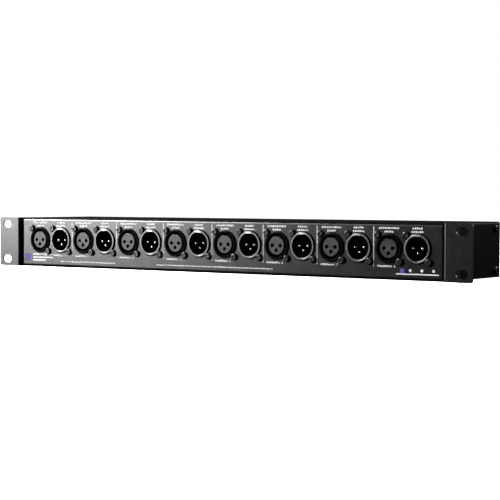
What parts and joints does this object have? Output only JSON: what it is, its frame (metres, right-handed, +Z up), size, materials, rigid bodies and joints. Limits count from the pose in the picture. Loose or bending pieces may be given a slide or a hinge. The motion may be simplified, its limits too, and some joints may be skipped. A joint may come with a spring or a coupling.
{
  "type": "audio patch bay",
  "caption": "One-unit 19-inch rack splitter panel with rows of female and male three-pole connectors on the front, isolated outputs and ground-lift buttons behind.",
  "frame": {"origin": "centre of the four rack slots, on the front plane of the ears", "axes": "+X to the right seen from the front, +Y back into the case, +Z up"},
  "size_m": [0.4826, 0.0976, 0.044],
  "materials": {
    "powder_coat": "black fine-textured powder coat, semi-gloss",
    "black_screw": "black zinc plate",
    "plated_steel": "bright zinc plate",
    "connector_black": "moulded glass-filled nylon, satin black",
    "latch_plastic": "moulded acetal, satin black",
    "insert_plastic": "moulded nylon, dark grey",
    "gold_contact": "gold plate",
    "silver_pin": "silver plate on brass",
    "spring_steel": "plain spring steel",
    "satin_nickel": "satin nickel plate",
    "switch_plastic": "moulded black",
    "button_plastic": "moulded dark grey",
    "board_laminate": "green solder mask on glass-epoxy laminate",
    "core_steel": "stacked silicon-steel laminations",
    "bobbin_plastic": "moulded nylon",
    "winding_copper": "enamelled copper under yellow tape",
    "header_plastic": "moulded black",
    "ribbon_plastic": "grey PVC ribbon"
  },
  "bodies": {
    "case": {"chassis_base": "powder_coat", "top_cover": "powder_coat", "rack_ear_left": "powder_coat", "rack_ear_right": "powder_coat", "ear_screws": "black_screw", "side_screws": "black_screw", "cover_screws": "black_screw", "clinch_nuts": "plated_steel", "input_shells": "connector_black", "output_shells": "connector_black", "input_inserts": "insert_plastic", "input_contacts": "gold_contact", "latch_springs": "spring_steel", "output_ground_rings": "satin_nickel", "output_inserts": "insert_plastic", "output_pins": "silver_pin", "front_connector_screws": "black_screw", "isolated_shells": "connector_black", "isolated_ground_rings": "satin_nickel", "isolated_inserts": "insert_plastic", "isolated_pins": "silver_pin", "rear_connector_screws": "black_screw", "ground_lift_switches": "switch_plastic", "front_circuit_board": "board_laminate", "rear_circuit_board": "board_laminate", "transformer_cores": "core_steel", "transformer_bobbins": "bobbin_plastic", "transformer_windings": "winding_copper", "ribbon_headers": "header_plastic", "ribbon_cables": "ribbon_plastic"},
    "latch_1": {"input_latch_1": "latch_plastic"},
    "latch_2": {"input_latch_2": "latch_plastic"},
    "latch_3": {"input_latch_3": "latch_plastic"},
    "latch_4": {"input_latch_4": "latch_plastic"},
    "latch_5": {"input_latch_5": "latch_plastic"},
    "latch_6": {"input_latch_6": "latch_plastic"},
    "latch_7": {"input_latch_7": "latch_plastic"},
    "latch_8": {"input_latch_8": "latch_plastic"},
    "ground_button_1": {"ground_lift_button_1": "button_plastic"},
    "ground_button_2": {"ground_lift_button_2": "button_plastic"},
    "ground_button_3": {"ground_lift_button_3": "button_plastic"},
    "ground_button_4": {"ground_lift_button_4": "button_plastic"},
    "ground_button_5": {"ground_lift_button_5": "button_plastic"},
    "ground_button_6": {"ground_lift_button_6": "button_plastic"},
    "ground_button_7": {"ground_lift_button_7": "button_plastic"},
    "ground_button_8": {"ground_lift_button_8": "button_plastic"}
  },
  "joints": [
    {"name": "latch_push_1", "type": "slide", "parent": "case", "child": "latch_1", "axis": [0, 1, 0], "range_m": [0, 0.001], "stiffness_N_per_m": 2000, "springref_m": -0.0005},
    {"name": "latch_push_2", "type": "slide", "parent": "case", "child": "latch_2", "axis": [0, 1, 0], "range_m": [0, 0.001], "stiffness_N_per_m": 2000, "springref_m": -0.0005},
    {"name": "latch_push_3", "type": "slide", "parent": "case", "child": "latch_3", "axis": [0, 1, 0], "range_m": [0, 0.001], "stiffness_N_per_m": 2000, "springref_m": -0.0005},
    {"name": "latch_push_4", "type": "slide", "parent": "case", "child": "latch_4", "axis": [0, 1, 0], "range_m": [0, 0.001], "stiffness_N_per_m": 2000, "springref_m": -0.0005},
    {"name": "latch_push_5", "type": "slide", "parent": "case", "child": "latch_5", "axis": [0, 1, 0], "range_m": [0, 0.001], "stiffness_N_per_m": 2000, "springref_m": -0.0005},
    {"name": "latch_push_6", "type": "slide", "parent": "case", "child": "latch_6", "axis": [0, 1, 0], "range_m": [0, 0.001], "stiffness_N_per_m": 2000, "springref_m": -0.0005},
    {"name": "latch_push_7", "type": "slide", "parent": "case", "child": "latch_7", "axis": [0, 1, 0], "range_m": [0, 0.001], "stiffness_N_per_m": 2000, "springref_m": -0.0005},
    {"name": "latch_push_8", "type": "slide", "parent": "case", "child": "latch_8", "axis": [0, 1, 0], "range_m": [0, 0.001], "stiffness_N_per_m": 2000, "springref_m": -0.0005},
    {"name": "ground_lift_push_1", "type": "slide", "parent": "case", "child": "ground_button_1", "axis": [0, -1, 0], "range_m": [0, 0.003], "stiffness_N_per_m": 600, "springref_m": -0.001},
    {"name": "ground_lift_push_2", "type": "slide", "parent": "case", "child": "ground_button_2", "axis": [0, -1, 0], "range_m": [0, 0.003], "stiffness_N_per_m": 600, "springref_m": -0.001},
    {"name": "ground_lift_push_3", "type": "slide", "parent": "case", "child": "ground_button_3", "axis": [0, -1, 0], "range_m": [0, 0.003], "stiffness_N_per_m": 600, "springref_m": -0.001},
    {"name": "ground_lift_push_4", "type": "slide", "parent": "case", "child": "ground_button_4", "axis": [0, -1, 0], "range_m": [0, 0.003], "stiffness_N_per_m": 600, "springref_m": -0.001},
    {"name": "ground_lift_push_5", "type": "slide", "parent": "case", "child": "ground_button_5", "axis": [0, -1, 0], "range_m": [0, 0.003], "stiffness_N_per_m": 600, "springref_m": -0.001},
    {"name": "ground_lift_push_6", "type": "slide", "parent": "case", "child": "ground_button_6", "axis": [0, -1, 0], "range_m": [0, 0.003], "stiffness_N_per_m": 600, "springref_m": -0.001},
    {"name": "ground_lift_push_7", "type": "slide", "parent": "case", "child": "ground_button_7", "axis": [0, -1, 0], "range_m": [0, 0.003], "stiffness_N_per_m": 600, "springref_m": -0.001},
    {"name": "ground_lift_push_8", "type": "slide", "parent": "case", "child": "ground_button_8", "axis": [0, -1, 0], "range_m": [0, 0.003], "stiffness_N_per_m": 600, "springref_m": -0.001}
  ]
}
